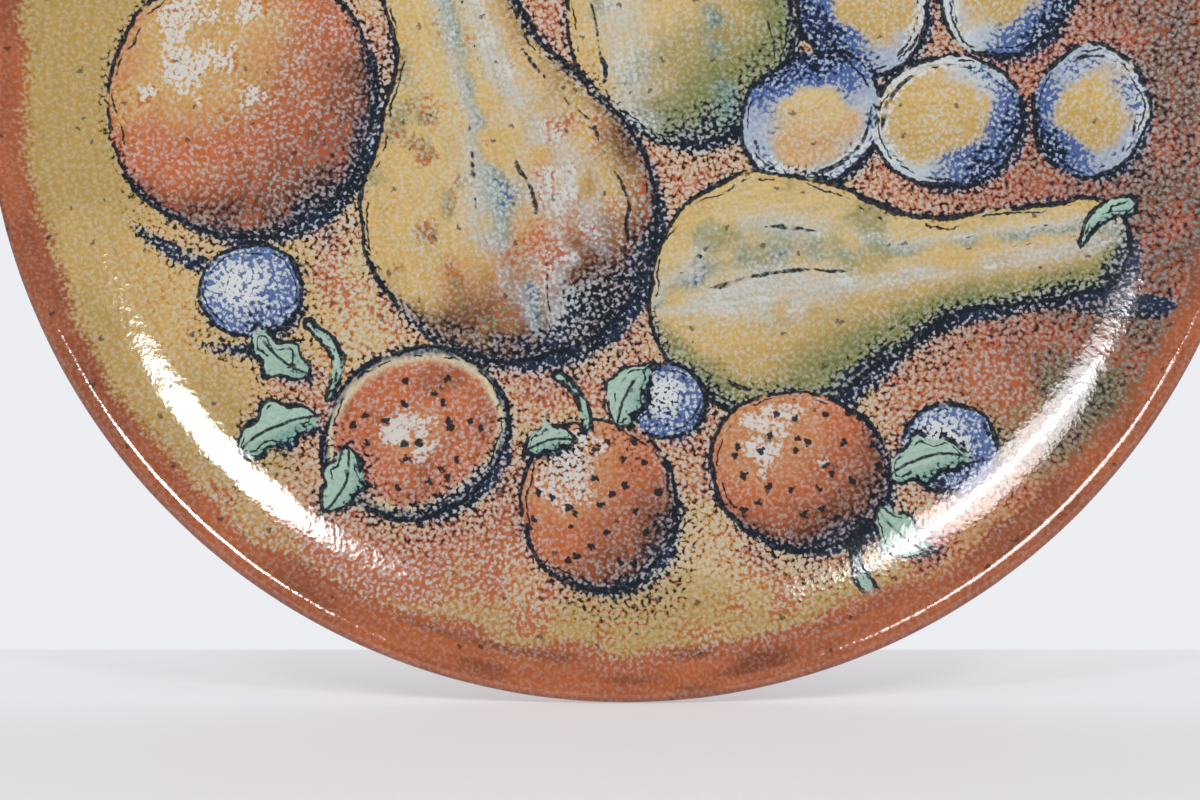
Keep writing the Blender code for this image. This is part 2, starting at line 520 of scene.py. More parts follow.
@dataclass(frozen=True)
class Leaf(Motif):
    """A pointed leaf: its place is its root, and it bends sideways towards its tip."""

    bend: float = 0.0
    lobes: float = 0.0

    def spine(self, x: np.ndarray, z: np.ndarray) -> tuple[np.ndarray, np.ndarray]:
        """The share of the length, and millimetres from the bent midrib.

        Args:
            x, z: Places on the face in millimetres.

        Returns:
            The share, and the millimetres across.
        """
        along, across = self.local(x, z)
        share = along / self.length
        return share, across - bowed(self.bend, share)

    def edge(self, x: np.ndarray, z: np.ndarray) -> np.ndarray:
        """Distance to the leaf's edge, near enough for a brush.

        Args:
            x, z: Places on the face in millimetres.

        Returns:
            Millimetres, negative inside.
        """
        share, across = self.spine(x, z)
        inside = np.clip(share, 0, 1)
        lobed = 1 + self.lobes * np.sin(inside * 6 * pi)
        beside = np.abs(across) - self.width * np.sin(pi * inside**0.8) * lobed
        past = (share - inside) * self.length
        return np.where(past == 0, beside * 0.9, np.hypot(beside, past))

    def rounding(self, x: np.ndarray, z: np.ndarray) -> tuple[np.ndarray, np.ndarray]:
        """One half faces the light, the other leans away."""
        share, across = self.spine(x, z)
        return 0.3 * (share - 0.5), np.clip(across / self.width, -1, 1) * 0.8

    def coat(self, x: np.ndarray, z: np.ndarray) -> Coat:
        """The leaf's paint, with its midrib as an inner line.

        Args:
            x, z: Places on the face in millimetres.

        Returns:
            The coat.
        """
        coat = super().coat(x, z)
        coat.mark[:] = self.spine(x, z)[1]
        return coat


@dataclass(frozen=True)
class Stalk(Motif):
    """A stalk of even width along a bent line; bend is how far its middle stands aside."""

    bend: float = 0.0

    def edge(self, x: np.ndarray, z: np.ndarray) -> np.ndarray:
        """Distance to the bent line, less half the stalk's width.

        Args:
            x, z: Places on the face in millimetres.

        Returns:
            Millimetres, negative inside.
        """
        along, across = self.local(x, z)
        share = np.clip(along / self.length, 0, 1)
        distance = np.hypot(across - bowed(self.bend, share), along - share * self.length)
        return distance - self.width * (0.75 + 0.5 * share)

    def rounding(self, x: np.ndarray, z: np.ndarray) -> tuple[np.ndarray, np.ndarray]:
        """Round across, level along.

        Args:
            x, z: Places on the face in millimetres.

        Returns:
            The leans along and across, from -1 to 1.
        """
        along, across = self.local(x, z)
        share = np.clip(along / self.length, 0, 1)
        return along * 0, np.clip((across - bowed(self.bend, share)) / self.width, -1, 1)


YELLOW_PEAR = PearSkin(
    Pigment.OCHRE, Pigment.STRAW, Pigment.BROWN, Pigment.ORANGE,
    cheek_way=(0.35, -0.8), cheek_share=0.65, broken=0.65, gleam=0.9, accent=0.4,
)
GREEN_PEAR = PearSkin(
    Pigment.OCHRE, Pigment.STRAW, Pigment.MOSS, Pigment.OLIVE_OCHRE,
    cheek_way=(0.5, -0.4), cheek_share=0.5, broken=0.55, gleam=0.9, light_at=-0.05, stroke_at=0.45,
)
QUINCE = PearSkin(
    Pigment.OCHRE, Pigment.STRAW, Pigment.MOSS, Pigment.MOSS,
    cheek_way=(0.5, -0.5), cheek_share=0.5, broken=0.55, gleam=0.7, light_at=0.5, stroke_at=-0.25,
)
PEACH = Skin(
    Pigment.ORANGE, Pigment.OCHRE, Pigment.BROWN, Pigment.TERRACOTTA,
    cheek_way=(0.6, -0.3), cheek_share=0.7, broken=0.62, gleam=0.9, accent=0.5,
)
PLUM_WEST = BloomSkin(
    Pigment.MIST_BLUE, Pigment.OCHRE, Pigment.NIGHT_BLUE, Pigment.OLIVE_OCHRE, broken=0.8, gleam=0.6,
    dark_way=(-0.85, -0.5),
)
PLUM_EAST = BloomSkin(
    Pigment.PALE_BLUE, Pigment.OCHRE, Pigment.NIGHT_BLUE, Pigment.OLIVE_OCHRE, broken=0.8, gleam=0.6,
    dark_way=(0.8, -0.6),
)
PLUM_NORTH = BloomSkin(
    Pigment.MIST_BLUE, Pigment.STRAW, Pigment.COBALT, Pigment.APRICOT, broken=0.65, gleam=0.6,
    dark_way=(-0.2, 0.95),
)
CRAB_APPLE = Skin(
    Pigment.ORANGE, Pigment.APRICOT, Pigment.BROWN, Pigment.TERRACOTTA,
    cheek_way=(0.6, -0.4), cheek_share=0.9, broken=0.55, gleam=0.85, seeds=1.0, accent=0.4,
)
BILBERRY = BerrySkin(
    Pigment.PALE_BLUE, Pigment.WHITE_GLAZE, Pigment.COBALT, Pigment.COBALT, broken=0.5, depth=0.6
)
CUT_FIG = CutSkin(
    Pigment.ORANGE, Pigment.CREAM, Pigment.NIGHT_BLUE, Pigment.APRICOT, broken=0.6, gleam=0.8, seeds=1.0
)
LEAF = Skin(
    Pigment.SAGE, Pigment.SAGE, Pigment.LEAF_GREEN, Pigment.LEAF_GREEN,
    cheek_way=(0.6, -0.6), cheek_share=0.5, broken=0.4, gleam=0.0, depth=0.6,
)


@dataclass(frozen=True)
class Layer:
    """Motifs that don't overlap one another, painted over every layer before them."""

    name: str
    motifs: tuple[Motif, ...]

    def coat(self, x: np.ndarray, z: np.ndarray) -> Coat:
        """Each point's paint, from the motif that lies nearest.

        Args:
            x, z: Places on the face in millimetres.

        Returns:
            The coat.
        """
        coat = Coat.blank(len(x))
        for motif in self.motifs:
            own = motif.coat(x, z)
            coat.take(own, own.edge < coat.edge)
        return coat

    def shadow(self, x: np.ndarray, z: np.ndarray) -> np.ndarray:
        """The darkest shadow of its motifs."""
        return np.max([motif.shadow(x, z) for motif in self.motifs], axis=0)


LAYERS = (
    Layer("back_fruit", (
        Motif(-121, -10, 44, 42, 70, PEACH, seed=1),
        Motif(18, 16, 40, 36, 100, QUINCE, seed=2),
        Motif(76, 22, 25, 21, 100, PLUM_WEST, seed=3),
        Motif(122, 26, 24, 20, 60, PLUM_EAST, seed=4),
        Motif(-84, 92, 46, 43, 90, PEACH, seed=5),
        Motif(24, 84, 25, 21, 120, PLUM_NORTH, seed=6),
        Motif(74, 78, 25, 21, 80, PLUM_WEST, seed=7),
        Motif(124, 78, 23, 20, 30, PLUM_EAST, seed=8),
        Leaf(-22, 128, 58, 17, 96, LEAF, bend=6, seed=9),
    )),
    Layer("middle_fruit", (
        Pear(-36, -46, 100, 47, 106, YELLOW_PEAR, neck=20, seed=10),
        Motif(60, -16, 23, 20, 35, PLUM_NORTH, seed=11),
        Motif(103, -17, 24, 21, 10, PLUM_EAST, seed=12),
        Motif(148, -14, 21, 18, 80, PLUM_WEST, seed=13),
        Motif(52, 116, 23, 20, 60, PLUM_EAST, seed=14),
        Motif(99, 118, 22, 20, 60, PLUM_WEST, seed=15),
    )),
    Layer("front_pear", (
        Pear(47, -72, 100, 39, 9, GREEN_PEAR, neck=15, seed=16),
        Motif(-118, -71, 16, 15, 0, BILBERRY, seed=17),
        Motif(-44, 122, 24, 21, 20, PLUM_EAST, seed=18),
    )),
    Layer("low_fruit", (
        Motif(-66, -116, 30, 26, 25, CUT_FIG, seed=19),
        Motif(-8, -139, 27, 25, 100, CRAB_APPLE, seed=20),
        Motif(56, -128, 29, 25, -15, CRAB_APPLE, seed=21),
        Motif(14, -106, 12, 12, 0, BILBERRY, seed=22),
        Motif(103, -121, 15, 14, 0, BILBERRY, seed=23),
    )),
    Layer("leaves", (
        Leaf(-99, -98, 26, 6, 138, LEAF, bend=3, lobes=0.2, seed=24),
        Leaf(-96, -111, 32, 7, 207, LEAF, bend=-4, lobes=0.2, seed=25),
        Leaf(-87, -120, 24, 6, 248, LEAF, bend=3, lobes=0.2, seed=26),
        Stalk(-94, -105, 24, 1.7, 105, LEAF, cast=0.5, bend=-6, seed=27),
        Leaf(-2, -114, 24, 7, 60, LEAF, bend=3, lobes=0.1, seed=28),
        Stalk(-12, -114, 18, 1.8, 120, LEAF, cast=0.5, bend=-3, seed=29),
        Leaf(-16, -118, 17, 4.5, 196, LEAF, bend=-2, lobes=0.2, seed=35),
        Leaf(80, -139, 24, 6, -38, LEAF, bend=-3, lobes=0.2, seed=30),
        Leaf(84, -130, 28, 7, 12, LEAF, bend=4, lobes=0.2, seed=31),
        Stalk(75, -144, 26, 1.8, -75, LEAF, cast=0.5, bend=-5, seed=32),
        Stalk(-63, 52, 22, 2.4, 120, LEAF, cast=0.5, bend=3, seed=33),
        Stalk(145, -56, 18, 2.4, 40, LEAF, cast=0.5, bend=3, seed=34),
    )),
)


@dataclass(frozen=True)
class Patch:
    """A soft area of the ground: its middle, half sizes and turn, and what is washed over it.

    A share or strength that is left out stays as the ground has it.
    """

    x: float
    z: float
    wide: float
    high: float
    turn: float
    pigment: Pigment
    share: float = 1.0
    broken: float | None = None
    accent: float | None = None
    dark: float | None = None

    def cover(self, x: np.ndarray, z: np.ndarray) -> np.ndarray:
        """How much of the patch lies at each point.

        Args:
            x, z: Places on the face in millimetres.

        Returns:
            Shares from 0 to 1.
        """
        along, across = swung(x - self.x, z - self.z, self.turn)
        return ease(1.25, 0.55, np.hypot(along / self.wide, across / self.high)) * self.share


@dataclass(frozen=True)
class Ground:
    """The mottled ground behind the fruit, brushed round with the wheel."""

    broken: float = 0.95
    accent: float = 0.5
    dark: float = 0.15
    wheel: float = 170.0  # millimetres of brush stroke to one radian
    strokes: tuple[Leaf, ...] = (  # single dark strokes, as long and thin as a narrow leaf
        Leaf(-158, -48, 56, 3.0, -22, LEAF, bend=-5, lobes=0.1),
        Leaf(-136, -88, 40, 2.4, 4, LEAF, bend=-3, lobes=0.1),
        Leaf(180, -76, 76, 5.0, 166, LEAF, bend=6, lobes=0.1),
    )
    patches: tuple[Patch, ...] = (
        Patch(-180, 20, 50, 200, 0, Pigment.OLIVE_OCHRE, 0.95, broken=0.3, accent=0.04, dark=0.0),
        Patch(-134, -84, 34, 40, 45, Pigment.OCHRE, 0.9, broken=0.55, accent=0.3, dark=0.12),
        Patch(-128, -126, 40, 22, -42, Pigment.OLIVE_OCHRE, 0.85, broken=0.45, accent=0.1, dark=0.0),
        Patch(-64, -166, 52, 20, -20, Pigment.APRICOT, 0.8, broken=1.0, accent=0.7, dark=0.06),
        Patch(150, -20, 70, 150, 0, Pigment.TERRACOTTA, 0.95, broken=0.65, accent=0.5),
        Patch(180, 14, 36, 76, 0, Pigment.SLATE, 0.75, broken=0.6, accent=0.4, dark=0.46),
        Patch(172, -84, 28, 58, 24, Pigment.SLATE, 0.8, broken=0.4, accent=0.5, dark=0.48),
        Patch(142, -118, 30, 30, 40, Pigment.MOSS, 0.7, broken=0.3, accent=0.2, dark=0.38),
        Patch(40, -173, 120, 17, 4, Pigment.OLIVE_OCHRE, 0.9, broken=0.4, accent=0.35, dark=0.0),
        Patch(122, -146, 44, 17, 46, Pigment.APRICOT, 0.85, broken=0.35, accent=0.5),
        Patch(150, -112, 14, 44, 38, Pigment.SLATE, 0.6, broken=0.4, accent=0.3, dark=0.52),
        Patch(26, -150, 26, 16, 0, Pigment.STRAW, 0.5, broken=0.9, accent=0.3, dark=0.4),
        Patch(-34, -118, 22, 18, 0, Pigment.STRAW, 0.5, broken=0.8, accent=0.5, dark=0.4),
        Patch(-60, 170, 130, 50, 0, Pigment.OCHRE, 0.8, broken=0.4, accent=0.3),
        Patch(90, 165, 90, 40, 0, Pigment.APRICOT, 0.8, broken=0.5, accent=0.5),
    )

    def coat(self, x: np.ndarray, z: np.ndarray) -> Coat:
        """The ground's paint at each point.

        Args:
            x, z: Places on the face in millimetres.

        Returns:
            The coat.
        """
        coat = Coat.blank(len(x))

        def sway(size: float, seed: int) -> np.ndarray:
            """How far the patches are pushed aside, in millimetres."""
            return (clouds(x, z, size, seed) - 0.5) * size

        swayed_x = x + sway(26, 1) + sway(9, 3)
        swayed_z = z + sway(26, 2) + sway(9, 4)
        coat.edge[:] = -FAR
        coat.tint[:] = mixed(Pigment.STRAW.rgb, Pigment.APRICOT.rgb, clouds(x, z, 30, 5))
        coat.broken[:], coat.accent[:], coat.dark[:] = self.broken, self.accent, self.dark
        for patch in self.patches:
            cover = patch.cover(swayed_x, swayed_z)
            coat.tint[:] = mixed(coat.tint, patch.pigment.rgb, cover)
            for name in ("broken", "accent", "dark"):
                value = getattr(patch, name)
                if value is not None:
                    kept = getattr(coat, name)
                    kept[:] = kept + (value - kept) * cover
        loaded = 0.7 + ease(0.0, 0.55, clouds(x, z, 7.0, 30)) * 0.3
        for stroke in self.strokes:
            coat.dark[:] = np.maximum(coat.dark, ease(2.4, -1.6, stroke.edge(x, z)) * loaded)
        coat.along[:] = np.abs(np.arctan2(x, -z)) * self.wheel
        coat.across[:] = np.hypot(x, z)
        return coat


@dataclass(frozen=True)
class Lip:
    """The terracotta band brushed over the lip, wider and looser at the bottom."""

    rim: float  # the plate's radius in millimetres
    band_side: float = 11.5
    band_low: float = 17.0
    dark_edge_width: float = 2.4  # how wide the darker brown band at the very edge is
    wheel: float = 190.0  # millimetres of brush stroke to one radian

    def coat(self, x: np.ndarray, z: np.ndarray) -> Coat:
        """The band's paint; its edge is where the band starts.

        Args:
            x, z: Places on the face in millimetres.

        Returns:
            The coat.
        """
        coat = Coat.blank(len(x))
        radius, turn = np.hypot(x, z), np.arctan2(x, -z)
        low = ease(1.1, 0.0, np.abs(turn - 0.05))
        band = self.band_side + (self.band_low - self.band_side) * low
        loose = (clouds(x, z, 17, 21) - 0.5) * (2.5 + 5 * low)
        coat.edge[:] = self.rim - band - loose - (clouds(x, z, 5, 22) - 0.5) * 2 - radius
        tint = mixed(Pigment.TERRACOTTA.rgb, Pigment.LIP_BROWN.rgb, clouds(x, z, 9, 23) * 0.7)
        tint = mixed(tint, Pigment.ORANGE.rgb, ease(0.4, 0.9, clouds(x, z, 21, 24)) * 0.5)
        tint = mixed(tint, Pigment.ORANGE.rgb, low * 0.4)
        brushed = clouds((turn + 4) * self.rim * 0.35, radius * 2.4, 8, 25)
        tint = mixed(tint, Pigment.BROWN.rgb, ease(0.5, 0.9, brushed) * (0.15 + 0.45 * low))
        # darker brown towards the very edge
        thin = ease(self.rim - self.dark_edge_width, self.rim - 0.7, radius)
        coat.tint[:] = mixed(tint, Pigment.LIP_BROWN.rgb, thin * 0.8)
        coat.broken[:] = 0.16 + 0.4 * low * ease(9, 0, np.abs(coat.edge))
        coat.along[:], coat.across[:] = np.abs(turn) * self.wheel, radius
        return coat


class Wire:
    """One socket's signal; sums on it add the nodes that work them out."""

    def __init__(self, bench: "Bench", socket: bpy.types.NodeSocket) -> None:
        """Wraps a socket.

        Args:
            bench: The bench that makes its nodes.
            socket: The output that carries the signal.
        """
        self.bench = bench
        self.socket = socket

    def sum(self, operation: str, first: Any, second: Any = 0.0) -> "Wire":
        """A Math node on two values."""
        return self.bench.node("ShaderNodeMath", {"operation": operation}, {0: first, 1: second})

    def __add__(self, other: Any) -> "Wire":
        """self + other."""
        return self.sum("ADD", self, other)

    def __radd__(self, other: Any) -> "Wire":
        """other + self."""
        return self.sum("ADD", other, self)

    def __sub__(self, other: Any) -> "Wire":
        """self - other."""
        return self.sum("SUBTRACT", self, other)

    def __rsub__(self, other: Any) -> "Wire":
        """other - self."""
        return self.sum("SUBTRACT", other, self)

    def __mul__(self, other: Any) -> "Wire":
        """self * other."""
        return self.sum("MULTIPLY", self, other)

    def __rmul__(self, other: Any) -> "Wire":
        """other * self."""
        return self.sum("MULTIPLY", other, self)

    def __abs__(self) -> "Wire":
        """The distance from nought."""
        return self.sum("ABSOLUTE", self)

    def most(self, other: Any) -> "Wire":
        """The larger of two values."""
        return self.sum("MAXIMUM", self, other)

    def step(self, low: Any, high: Any) -> "Wire":
        """A soft step from 0 at low to 1 at high; low may be the larger one."""
        soft = {"interpolation_type": "SMOOTHSTEP"}
        return self.bench.node("ShaderNodeMapRange", soft, {0: self, 1: low, 2: high, 3: 0.0, 4: 1.0})

    def parts(self) -> tuple["Wire", "Wire", "Wire"]:
        """The three parts of a vector."""
        return tuple(self.bench.node("ShaderNodeSeparateXYZ", {}, {0: self}, out) for out in range(3))


class Bench:
    """Lays out the nodes of one material."""

    def __init__(self, owner: bpy.types.Material | bpy.types.World) -> None:
        """Starts on an emptied node tree.

        Args:
            owner: The material or world to build.
        """
        owner.use_nodes = True
        self.tree = owner.node_tree
        self.tree.nodes.clear()

    def node(self, kind: str, settings: dict[str, Any], sockets: dict[Any, Any], out: Any = 0) -> Wire:
        """Adds any node.

        Args:
            kind: The node's type.
            settings: Its own settings, which are set first.
            sockets: Values or wires for its inputs, by number or name.
            out: Which output to hand on, by number or name.

        Returns:
            The wire of that output.
        """
        added = self.tree.nodes.new(kind)
        for name, value in settings.items():
            setattr(added, name, value)
        for key, value in sockets.items():
            if isinstance(value, Wire):
                self.tree.links.new(value.socket, added.inputs[key])
            else:
                added.inputs[key].default_value = value
        return Wire(self, added.outputs[out])

    def blend(self, under: Any, over: Any, share: Any) -> Wire:
        """One colour over another by a share."""
        return self.node("ShaderNodeMix", {"data_type": "RGBA"}, {0: share, 6: under, 7: over}, 2)

    def between(self, under: Any, over: Any, share: Any) -> Wire:
        """One value over another by a share."""
        return self.node("ShaderNodeMix", {"data_type": "FLOAT"}, {0: share, 2: under, 3: over}, 0)

    def attribute(self, name: str, out: str = "Color") -> Wire:
        """What the painter stored on the mesh under a name."""
        return self.node("ShaderNodeAttribute", {"attribute_name": name}, {}, out)

    def vector(self, x: Any, y: Any, z: Any = 0.0) -> Wire:
        """Three values as one vector."""
        return self.node("ShaderNodeCombineXYZ", {}, {0: x, 1: y, 2: z})

    def noise(
        self, place: Wire, size: float, detail: float = 1.0, out: str = "Fac", kind: str = "2D"
    ) -> Wire:
        """Soft grain.

        Args:
            place: Where each point lies.
            size: The width of a grain, in the place's own unit.
            detail: How many finer noises are added.
            out: Fac for one value, Color for three.
            kind: 2D on the face, 3D where a surface stands up.

        Returns:
            Values about 0.5.
        """
        sockets = {"Vector": place, "Scale": 1 / size, "Detail": detail}
        return self.node("ShaderNodeTexNoise", {"noise_dimensions": kind}, sockets, out)

    def cells(self, place: Wire, size: float, kind: str = "2D") -> Wire:
        """How far the nearest of the scattered points is; size is how far apart they lie."""
        sockets = {"Vector": place, "Scale": 1 / size}
        return self.node("ShaderNodeTexVoronoi", {"voronoi_dimensions": kind}, sockets)

    def vectors(self, operation: str, sockets: dict[Any, Any], out: str = "Vector") -> Wire:
        """A Vector Math node."""
        return self.node("ShaderNodeVectorMath", {"operation": operation}, sockets, out)

    def moved(self, place: Wire, by: Wire, amount: float) -> Wire:
        """A place pushed aside by a noise colour.

        Args:
            place: The place to push.
            by: The noise colour, about 0.5.
            amount: How far a whole unit of the colour pushes it.

        Returns:
            The pushed place.
        """
        centred = self.vectors("SUBTRACT", {0: by, 1: (0.5, 0.5, 0.5)})
        return self.vectors("ADD", {0: place, 1: self.vectors("SCALE", {0: centred, "Scale": amount})})

    def face_place(self) -> Wire:
        """Millimetres right of and above the origin, seen square to the face."""
        x, _, z = self.node("ShaderNodeTexCoord", {}, {}, "Object").parts()
        return self.vector(x * (1 / MM), z * (1 / MM))

    def solid_place(self) -> Wire:
        """Millimetres from the origin in all three directions."""
        place = self.node("ShaderNodeTexCoord", {}, {}, "Object")
        return self.vectors("SCALE", {0: place, "Scale": 1 / MM})

    def fired(self, colour: Wire, roughness: Wire, height: Wire, lift: float) -> None:
        """Ends the tree in a fired surface, glassy or dull by its roughness.

        Args:
            colour: The base colour.
            roughness: The surface's roughness.
            height: The relief, where 1 stands as high as lift.
            lift: How high that is, in metres.
        """
        bump = self.node("ShaderNodeBump", {}, {"Strength": 1.0, "Distance": lift, "Height": height})
        sockets = {"Base Color": colour, "Roughness": roughness, "Normal": bump, "IOR": GLAZE_IOR}
        self.finish(self.node("ShaderNodeBsdfPrincipled", {}, sockets))

    def finish(self, surface: Wire) -> None:
        """Links a surface to the material's output."""
        output = self.tree.nodes.new("ShaderNodeOutputMaterial")
        self.tree.links.new(surface.socket, output.inputs["Surface"])


@dataclass(frozen=True)
class Paint:
    """The signals of the paint at each point: one layer's own, or all that is laid so far."""

    tint: Wire
    wash: Wire  # its parts are a coat's dark, accent and light
    shape: Wire  # its parts are a coat's edge, along and across
    broken: Wire
    seeds: Wire

    @classmethod
    def stored(cls, bench: Bench, name: str) -> "Paint":
        """What the painter stored on the mesh for a layer.

        Args:
            bench: The bench that reads it.
            name: The layer's name.

        Returns:
            The layer's own paint.
        """
        coats = [bench.attribute(f"{name}_{coat}") for coat in ("tint", "wash", "shape")]
        alphas = [bench.attribute(f"{name}_{coat}", "Alpha") for coat in ("tint", "wash")]
        return cls(*coats, *alphas)

    def under(self, over: "Paint", cover: Wire) -> "Paint":
        """This paint with another laid over it.

        Args:
            over: The other paint.
            cover: How much of it lies at each point.

        Returns:
            Both together.
        """
        bench = self.tint.bench
        return Paint(
            bench.blend(self.tint, over.tint, cover),
            bench.blend(self.wash, over.wash, cover),
            bench.blend(self.shape, over.shape, cover),
            bench.between(self.broken, over.broken, cover),
            bench.between(self.seeds, over.seeds, cover),
        )


@dataclass(frozen=True)
class Grain:
    """The noises by which the glaze breaks the paint up."""

    place: Wire
    fine: Wire  # a colour, for pushing places aside
    fleck: Wire
    froth: Wire  # 1 in the middle of a pale bead
    drift: tuple[Wire, Wire, Wire]  # broad and slow
    shake: Wire  # how far an outline trembles, in millimetres


@dataclass(frozen=True)
class PaintedFace:
    """The painted and glazed face: the stored coats, with ink lines, grain and pale beads.

    Its sizes are in millimetres, apart from the relief, which is in metres.
    """

    name: str = "painted_glaze"
    fine: float = 1.9
    fleck: float = 1.3
    bead: float = 1.6
    bead_push: float = 1.6  # how far the fine noise pushes the beads aside
    broad: float = 15.0
    tremble: float = 1.1
    drift: float = 3.6
    line: float = 0.66
    inner_line_depth: float = 2.1
    line_length: float = 8.0
    seed_push: float = 2.4
    seed_spacing: float = 8.2
    speck_spacing: float = 17.0
    ripples: tuple[float, float] = (1.4, 3.4)
    roughness: float = 0.05
    relief: float = 0.00003
    layer_names: tuple[str, ...] = tuple(layer.name for layer in LAYERS)

    def material(self) -> bpy.types.Material:
        """Builds the material.

        Returns:
            The face's material.
        """
        made = bpy.data.materials.new(self.name)
        bench = Bench(made)
        grain = self._grain(bench)
        froth = grain.froth
        paint, ink = self._layers(bench, grain)
        lip = Paint.stored(bench, "lip")
        band = lip.shape.parts()[0] + grain.shake * 0.9 + (grain.fleck - 0.5) * 4 + (froth - 0.5) * 2
        on_lip = band.step(2.6, -2.2)
        paint = paint.under(lip, on_lip)
        colour, deep = self._glaze_colour(bench, grain, paint)
        ink = ink * (1.2 - froth * 0.5) * (1 - on_lip)
        colour = bench.blend(colour, Pigment.INK.rgba, ink.step(0.0, 0.95) * 0.97)
        colour = bench.blend(colour, Pigment.INK.rgba, self._specks(bench, grain, paint.seeds) * 0.95)
        roughness = self.roughness + 0.04 * grain.fleck + deep * 0.03
        narrow, wide = (bench.noise(grain.place, ripple) for ripple in self.ripples)
        bench.fired(colour, roughness, froth * 0.35 + narrow * 0.4 + wide * 1.2, self.relief)
        return made

    def _grain(self, bench: Bench) -> Grain:
        """Lays out the noises.

        Args:
            bench: The face's bench.

        Returns:
            The noises, for every layer of the paint.
        """
        place = bench.face_place()
        fine = bench.noise(place, self.fine, out="Color")
        drift = bench.noise(place, self.broad, out="Color").parts()
        fleck = bench.noise(place, self.fleck, 2.0)
        beads = bench.cells(bench.moved(place, fine, self.bead_push), self.bead).step(0.78, 0.06)
        froth = beads * 0.55 + fleck.step(0.32, 0.70) * 0.45
        shake = (fine.parts()[0] - 0.5) * self.tremble + (drift[0] - 0.5) * self.drift
        return Grain(place, fine, fleck, froth, drift, shake)

    def _layers(self, bench: Bench, grain: Grain) -> tuple[Paint, Wire]:
        """Lays every layer of motifs over the ground.

        Args:
            bench: The face's bench.
            grain: Its noises.

        Returns:
            The paint, and the ink of the outlines, inner lines and marks.
        """
        _, slow, slower = grain.drift
        gap = bench.noise(grain.place, self.line_length)
        open_line, second_line = gap.step(0.30, 0.40), gap.step(0.54, 0.46)
        width = self.line * (0.3 + 1.4 * slow)
        depth = self.inner_line_depth + (slower - 0.5) * 4
        paint = Paint.stored(bench, "ground")
        ink: Any = 0.0
        for name in self.layer_names:
            own = Paint.stored(bench, name)
            edge = own.shape.parts()[0] + grain.shake
            cover = edge.step(0.25, -0.25)
            outline = abs(edge).step(width + 0.32, width - 0.14) * open_line
            inner = abs(edge + depth).step(0.5, 0.15) * second_line
            mark = abs(bench.attribute(f"{name}_shape", "Alpha") + grain.shake * 0.5)
            mark = mark.step(0.75, 0.25) * cover
            inner = inner.most(mark * (0.35 + 0.65 * open_line)) * 0.9
            ink = (ink * (1 - cover)).most(outline.most(inner))
            paint = paint.under(own, cover)
        return paint, ink

    def _glaze_colour(self, bench: Bench, grain: Grain, paint: Paint) -> tuple[Wire, Wire]:
        """Breaks the paint into granules, beads and brush streaks.

        Args:
            bench: The face's bench.
            grain: Its noises.
            paint: All the paint, without the ink.

        Returns:
            The colour, and how far the blue-black shows in it.
        """
        dark, accent, light = paint.wash.parts()
        _, along, across = paint.shape.parts()
        froth, (drift, slow, slower) = grain.froth, grain.drift
        streak = bench.noise(bench.vector(along * 0.06, across * 0.6), 1.0, 3.0)
        value = 0.60 + 0.34 * streak + 0.34 * grain.fleck
        colour = bench.node("ShaderNodeHueSaturation", {}, {"Value": value, "Color": paint.tint})
        rusty = accent + (0.45 - froth) * 0.5 + (streak - 0.5) * 0.7 + (drift - 0.5) * 0.6
        rusty = rusty.step(0.34, 0.66) * accent.step(0.02, 0.35)
        colour = bench.blend(colour, Pigment.RUST.rgba, rusty * 0.85)
        pale = (light + (streak - 0.5) * 0.8 + (froth - 0.45) * 0.6).step(0.42, 0.78)
        colour = bench.blend(colour, Pigment.WHITE_GLAZE.rgba, pale * light.step(0.02, 0.3) * 0.8)
        through = paint.broken * froth.step(0.30, 0.95)
        colour = bench.blend(colour, Pigment.PALE_GLAZE.rgba, through * 0.85)
        colour = bench.blend(colour, Pigment.MIST_BLUE.rgba, (dark * froth).step(0.25, 0.9) * 0.6)
        blue = (0.55 - froth - accent * 0.9 + (slower - 0.5) * 0.3).step(0.42, 0.72)
        colour = bench.blend(colour, Pigment.COBALT.rgba, blue * accent.step(-0.05, -0.3) * 0.9)
        deep = (dark * 0.80 + (0.45 - froth) * 0.85 + (slow - 0.5) * 0.3).step(0.38, 0.70)
        deep = deep * dark.step(0.03, 0.25)
        blueness = (drift + froth * 0.6).step(0.5, 1.0) * 0.7
        night = bench.blend(Pigment.INK.rgba, Pigment.NIGHT_BLUE.rgba, blueness)
        return bench.blend(colour, night, deep), deep

    def _specks(self, bench: Bench, grain: Grain, seeds: Wire) -> Wire:
        """Seeds where the fruit has them, and a few dark specks everywhere.

        Args:
            bench: The face's bench.
            grain: Its noises.
            seeds: How strongly seeds show at each point.

        Returns:
            1 inside a seed or speck.
        """
        place = bench.moved(grain.place, grain.fine, self.seed_push)
        seed = bench.cells(place, self.seed_spacing).step(0.175, 0.11) * seeds
        rare = bench.cells(place, self.speck_spacing).step(0.055, 0.03)
        return seed.most(rare * 0.7)


